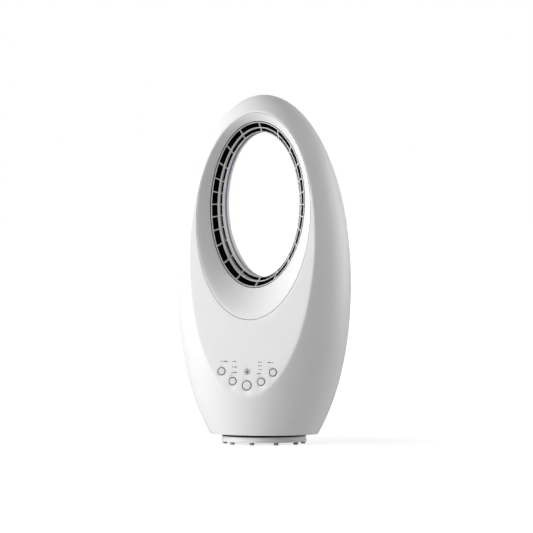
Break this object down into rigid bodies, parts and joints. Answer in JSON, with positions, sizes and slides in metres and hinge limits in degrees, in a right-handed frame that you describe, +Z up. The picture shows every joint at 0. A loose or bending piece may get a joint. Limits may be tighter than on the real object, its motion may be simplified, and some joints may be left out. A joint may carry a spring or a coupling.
{
  "type": "bladeless fan",
  "caption": "Egg-shaped bladeless fan on a low round base, with an oval opening ringed by ribbed air slots, push buttons on its flat front and a swinging body.",
  "frame": {"origin": "on the floor, under the middle of the object's own box", "axes": "+X to the viewer's right when the front faces the viewer, +Y towards the back, +Z up; the front faces -Y"},
  "size_m": [0.3174, 0.2119, 0.62],
  "materials": {
    "gloss_white": "smooth glossy moulded plastic",
    "satin_white": "satin moulded plastic",
    "lavender": "satin violet-grey trim",
    "black_plastic": "matt black moulded plastic",
    "rubber": "dark grey rubber",
    "steel": "plain steel",
    "natural_plastic": "natural acetal",
    "board": "circuit board",
    "filter_mat": "open grey filter mat and foam"
  },
  "bodies": {
    "base": {"base_cover": "gloss_white", "base_plate": "satin_white", "ballast_ring": "steel", "pivot_tube": "natural_plastic", "slide_ring": "natural_plastic", "retaining_ring": "steel", "sun_gear": "natural_plastic", "foot_1": "rubber", "foot_2": "rubber", "foot_3": "rubber", "foot_4": "rubber", "foot_5": "rubber", "foot_6": "rubber", "foot_7": "rubber", "foot_8": "rubber", "foot_9": "rubber", "foot_10": "rubber", "base_screw_1": "steel", "base_screw_2": "steel", "base_screw_3": "steel"},
    "housing": {"front_shell": "gloss_white", "rear_shell": "gloss_white", "funnel_ring": "gloss_white", "intake_grille": "gloss_white", "outlet_grille": "satin_white", "throat_ring": "satin_white", "turntable": "satin_white", "swing_bracket": "satin_white", "accent_ring": "lavender", "duct_ring": "black_plastic", "riser_duct": "black_plastic", "blower_shroud": "black_plastic", "inlet_bell": "black_plastic", "diffuser": "black_plastic", "motor_cap": "black_plastic", "receiver_window": "black_plastic", "cord_gland": "rubber", "mount_bush_1": "rubber", "mount_bush_2": "rubber", "mount_bush_3": "rubber", "motor": "steel", "swing_motor": "steel", "shell_screw_1": "steel", "shell_screw_2": "steel", "shell_screw_3": "steel", "shell_screw_4": "steel", "power_board": "board", "control_board": "board", "riser_seal": "filter_mat", "dust_filter": "filter_mat"},
    "impeller": {"impeller": "black_plastic", "motor_shaft": "steel"},
    "swing_pinion": {"swing_pinion": "natural_plastic"},
    "button_1": {"button_1": "satin_white"},
    "button_2": {"button_2": "satin_white"},
    "button_3": {"button_3": "satin_white"},
    "button_4": {"button_4": "satin_white"},
    "button_5": {"button_5": "satin_white"}
  },
  "joints": [
    {"name": "swing", "type": "hinge", "parent": "base", "child": "housing", "pos_m": [0, -0.0052, 0.0178], "axis": [0, 0, 1], "range_deg": [-40, 40]},
    {"name": "impeller_spin", "type": "hinge", "parent": "housing", "child": "impeller", "pos_m": [0, -0.0052, 0.1], "axis": [0, 0, 1], "continuous": true},
    {"name": "pinion_spin", "type": "hinge", "parent": "housing", "child": "swing_pinion", "pos_m": [0, 0.0268, 0.03], "axis": [0, 0, 1], "range_deg": [-90, 90]},
    {"name": "button_1_press", "type": "slide", "parent": "housing", "child": "button_1", "axis": [0, 0.9928, -0.1201], "range_m": [0, 0.0008], "stiffness_N_per_m": 1200},
    {"name": "button_2_press", "type": "slide", "parent": "housing", "child": "button_2", "axis": [0, 0.9928, -0.1201], "range_m": [0, 0.0008], "stiffness_N_per_m": 1200},
    {"name": "button_3_press", "type": "slide", "parent": "housing", "child": "button_3", "axis": [0, 0.9928, -0.1201], "range_m": [0, 0.0008], "stiffness_N_per_m": 1200},
    {"name": "button_4_press", "type": "slide", "parent": "housing", "child": "button_4", "axis": [0, 0.9928, -0.1201], "range_m": [0, 0.0008], "stiffness_N_per_m": 1200},
    {"name": "button_5_press", "type": "slide", "parent": "housing", "child": "button_5", "axis": [0, 0.9928, -0.1201], "range_m": [0, 0.0008], "stiffness_N_per_m": 1200}
  ],
  "couplings": [
    {"joint": "pinion_spin", "follows": "swing", "ratio": 2.2}
  ]
}
